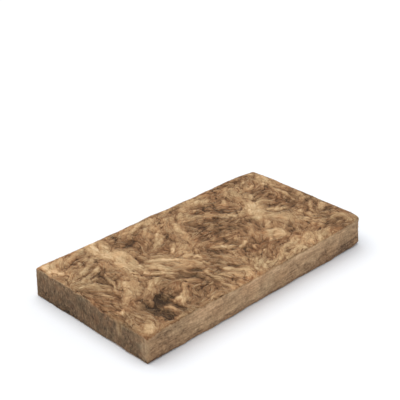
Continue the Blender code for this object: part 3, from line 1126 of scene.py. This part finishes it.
def bonded_wool():
    """Glass wool, spun, bonded with a brown binder, felted and sawn.

    To the eye it is matt and soft. Binder stains it golden to dark brown. Its faces are streaked
    along the fibre and creased, with painted shade in the creases. Its long sides show level layers
    and are lighter partly by painted light, and its ends a darker, upright cut, darker partly by
    painted shade.
    """
    material = bpy.data.materials.new("bonded_glass_wool_felted")
    material.use_nodes = True
    tree = material.node_tree
    shader = tree.nodes["Principled BSDF"]
    tone, warmth, cut, end, creases, fine_creases, wisps = (
        add(tree, ATTRIBUTE, {"attribute_name": name}, {}, "Fac") for name in
        ("tone", "warmth", "cut", "end", *FOLDS))
    run = add(tree, ATTRIBUTE, {"attribute_name": "run"}, {}, "Vector")
    place = add(tree, "ShaderNodeTexCoord", {}, {}, "Object")
    felted = add(tree, MATH, MINUS, {0: 1.0, 1: cut})

    # Painted shade in the felt's creases, the fine creases' shade a little weaker than the long ones', and
    # light wisps of the felt.
    creases, fine_creases, wisps = (drawn_line(tree, widths) for widths in (creases, fine_creases, wisps))
    dark = add(tree, MATH, TIMES_PLUS, {0: fine_creases, 1: 0.7, 2: creases})
    crease_shade = add(tree, MATH, TIMES, {0: dark, 1: -1.0})
    both = add(tree, MATH, TIMES_PLUS, {0: wisps, 1: 0.7, 2: crease_shade})
    lines = add(tree, MATH, TIMES, {0: felted, 1: both})

    # Value: the tone, with the lines (the creases' painted shade and the light wisps) and thick strands on
    # the felt, and fine grain and mottle all over.
    grain = fibres(tree, place, run, 2.4)
    strands = fibres(tree, place, run, 6.0)
    mottle = add(tree, NOISE, {}, {"Vector": place, "Scale": per_metre(6.7), "Detail": 4.0, "Roughness": 0.6})
    lined = add(tree, MATH, TIMES_PLUS, {0: lines, 1: 0.28, 2: tone})
    share = add(tree, MATH, TIMES, {0: felted, 1: 1.2})
    stranded = add(tree, MATH, TIMES_PLUS, {0: strands, 1: share, 2: lined})
    levelled = add(tree, MATH, TIMES_PLUS, {0: felted, 1: -0.60, 2: stranded})
    grained = add(tree, MATH, TIMES_PLUS, {0: grain, 1: 0.70, 2: levelled})
    mottled = add(tree, MATH, TIMES_PLUS, {0: mottle, 1: 0.20, 2: grained})

    # Marks of the saw: drawn out level on the long sides, upright and stronger on the ends.
    squeeze = add(tree, MIX, COLOURS, {"Factor": end, COLOUR_A: (0.15, 0.15, 1.0, 1.0),
                                       COLOUR_B: (1.0, 1.0, 0.3, 1.0)}, MIXED)
    squeezed = add(tree, "ShaderNodeVectorMath", TIMES, {0: place, 1: squeeze})
    sawn = add(tree, NOISE, {}, {"Vector": squeezed, "Scale": per_metre(4.3), "Detail": 3.0,
                                 "Roughness": 0.65})
    middled = add(tree, MATH, MINUS, {0: sawn, 1: 0.5})
    on_sides = add(tree, MATH, TIMES, {0: cut, 1: 0.8})
    strength = add(tree, MATH, TIMES_PLUS, {0: end, 1: 0.6, 2: on_sides})
    marked_value = add(tree, MATH, TIMES_PLUS, {0: middled, 1: strength, 2: mottled})
    value = add(tree, MATH, MINUS, {0: marked_value, 1: 0.45})

    felt = add(tree, RAMP, {"stops": ((0.10, "#432E1E"), (0.25, "#66482F"), (0.40, "#866345"),
                                      (0.52, "#9D7A58"), (0.64, "#B3906A"), (0.80, "#D3B38A"),
                                      (1.0, "#EED3AE"))}, {"Fac": value})
    # The long sides' ramp is lighter than the felt's, partly the cut's own colour and partly painted light;
    # the ends' ramp below is darker, partly the cut's own colour and partly painted shade.
    sides = add(tree, RAMP, {"stops": ((0.10, "#5F4A3A"), (0.35, "#957B60"), (0.50, "#AD9171"),
                                       (0.70, "#C9AC8A"), (0.95, "#E6CBA8"))}, {"Fac": value})
    ends = add(tree, RAMP, {"stops": ((0.10, "#352A20"), (0.35, "#614C38"), (0.50, "#755D46"),
                                      (0.70, "#8B7055"), (0.95, "#A88C6D"))}, {"Fac": value})
    around = add(tree, MIX, COLOURS, {"Factor": end, COLOUR_A: sides, COLOUR_B: ends}, MIXED)
    colour = add(tree, MIX, COLOURS, {"Factor": cut, COLOUR_A: felt, COLOUR_B: around}, MIXED)
    warm = add(tree, MATH, TIMES_PLUS, {0: warmth, 1: 0.2, 2: 0.5})
    tint = add(tree, RAMP, {"stops": ((0.1, "#E4EBE8"), (0.5, "#FBF7F0"), (0.9, "#FFE8D6"))}, {"Fac": warm})
    tinted = add(tree, MIX, {**COLOURS, "blend_type": "MULTIPLY"},
                 {"Factor": 1.0, COLOUR_A: colour, COLOUR_B: tint}, MIXED)
    tree.links.new(tinted, shader.inputs["Base Color"])

    raised = add(tree, MATH, TIMES_PLUS, {0: grain, 1: 1.6, 2: mottle})
    raised = add(tree, MATH, TIMES_PLUS, {0: strands, 1: 1.5, 2: raised})
    raised = add(tree, MATH, TIMES_PLUS, {0: lines, 1: 0.5, 2: raised})
    bump = add(tree, "ShaderNodeBump", {}, {"Height": raised, "Strength": 0.6, "Distance": 2 * MM})
    tree.links.new(bump, shader.inputs["Normal"])

    # Loose fibre scatters light back every way: rough, hardly any gloss, and a trace of fuzz.
    shader.inputs["Roughness"].default_value = 0.92
    shader.inputs["Specular IOR Level"].default_value = 0.1
    shader.inputs["Sheen Weight"].default_value = 0.05
    shader.inputs["Sheen Roughness"].default_value = 0.6
    return material


def loose_fibre(shade, code):
    """Strands of drawn glass fibre in clear binder: thin, of one colour, faintly glossy."""
    material = bpy.data.materials.new("loose_glass_fibre_" + shade)
    material.use_nodes = True
    shader = material.node_tree.nodes["Principled BSDF"]
    shader.inputs["Base Color"].default_value = linear(code)
    shader.inputs["Roughness"].default_value = 0.55
    shader.inputs["IOR"].default_value = 1.52
    shader.inputs["Specular IOR Level"].default_value = 0.4
    return material


def floor_material():
    """A studio floor of matt white paper: pale, with no gloss."""
    material = bpy.data.materials.new("studio_floor_matt_white")
    material.use_nodes = True
    shader = material.node_tree.nodes["Principled BSDF"]
    shader.inputs["Base Color"].default_value = linear("#F6F7F8")
    shader.inputs["Roughness"].default_value = 0.9
    shader.inputs["Specular IOR Level"].default_value = 0.0
    return material


# Studio

def add_floor():
    """A floor so wide that its rim stays far out of every view."""
    reach = 30.0
    corners = [(-reach, -reach, 0), (reach, -reach, 0), (reach, reach, 0), (-reach, reach, 0)]
    mesh = bpy.data.meshes.new("studio_floor")
    mesh.from_pydata(corners, [], [(0, 1, 2, 3)])
    floor = bpy.data.objects.new("studio_floor", mesh)
    bpy.context.scene.collection.objects.link(floor)
    mesh.materials.append(floor_material())


def add_overhead_light():
    """One broad soft light from above, a little from behind, so that the shadow hugs the batt."""
    light = bpy.data.lights.new("overhead_softbox", "SUN")
    light.energy = 2.2
    light.angle = math.radians(70)
    lamp = bpy.data.objects.new("overhead_softbox", light)
    shines = Vector((0.1, -0.25, -1.0))
    lamp.rotation_euler = shines.to_track_quat("-Z", "Y").to_euler()
    bpy.context.scene.collection.objects.link(lamp)


def add_studio():
    """Floor, lamp, and pale surroundings that look brighter to the camera than the light they cast."""
    add_floor()
    add_overhead_light()
    world = bpy.data.worlds.new("studio")
    world.use_nodes = True
    tree = world.node_tree
    seen = add(tree, "ShaderNodeLightPath", {}, {}, "Is Camera Ray")
    strength = add(tree, MATH, TIMES_PLUS, {0: seen, 1: 0.60, 2: 0.50})
    background = tree.nodes["Background"]
    background.inputs["Color"].default_value = linear("#F4F8FF")
    tree.links.new(strength, background.inputs["Strength"])
    bpy.context.scene.world = world


def add_camera():
    """The photograph's camera: it looks at AIM from that azimuth and elevation, turned by the roll."""
    azimuth, elevation, roll = (math.radians(a) for a in (AZIMUTH_DEG, ELEVATION_DEG, ROLL_DEG))
    level = math.cos(elevation)
    back = Vector((level * math.cos(azimuth), level * math.sin(azimuth), math.sin(elevation)))
    right = Vector((0, 0, 1)).cross(back).normalized()
    up = back.cross(right)
    turned_right = right * math.cos(roll) + up * math.sin(roll)
    turned_up = up * math.cos(roll) - right * math.sin(roll)
    camera_data = bpy.data.cameras.new("camera")
    camera_data.lens = LENS_MM
    camera_data.sensor_width = 36.0
    camera_data.clip_end = 100.0
    camera = bpy.data.objects.new("camera", camera_data)
    turn = Matrix((turned_right, turned_up, back)).transposed().to_4x4()
    camera.matrix_world = Matrix.Translation(AIM + back * DISTANCE) @ turn
    bpy.context.scene.collection.objects.link(camera)
    bpy.context.scene.camera = camera


def add_piece(name, mesh, material):
    """An object of the batt: it moves with the root and wears the glass wool."""
    mesh.materials.append(material)
    piece = bpy.data.objects.new(name, mesh)
    bpy.context.scene.collection.objects.link(piece)
    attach(piece, "root")
    return piece


def build():
    """The two plans, the batt that reads them, its loose fibres, the studio and the camera."""
    bpy.context.scene.view_settings.view_transform = "Standard"
    face, side = felted_face(), cut_sides()
    unit, loops, totals, parts, top, rings = closed_box_grid()
    points, facts = batt_surface(unit, face, side)
    mesh = mesh_of("batt_wool", points, loops, totals)
    for name, values in facts.items():
        add_attribute(mesh, name, values)
    layout = mesh.uv_layers.new(name="OFBake")
    layout.data.foreach_set("uv", bake_layout(unit, loops, totals, parts).astype(np.float32).ravel())
    batt = add_piece("batt_wool", mesh, bonded_wool())
    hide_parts("batt")
    on_dark, on_light = upper_fibres(points, top, face)
    add_piece("loose_fibres_dark", on_dark, loose_fibre("brown", "#A08059"))
    add_piece("loose_fibres_light", on_light, loose_fibre("golden", "#DDC196"))
    add_piece("loose_fibres_sides", side_fibres(points, rings), loose_fibre("tan", "#BF9F79"))
    add_studio()
    add_camera()


# Run

build()
bpy.context.view_layer.update()
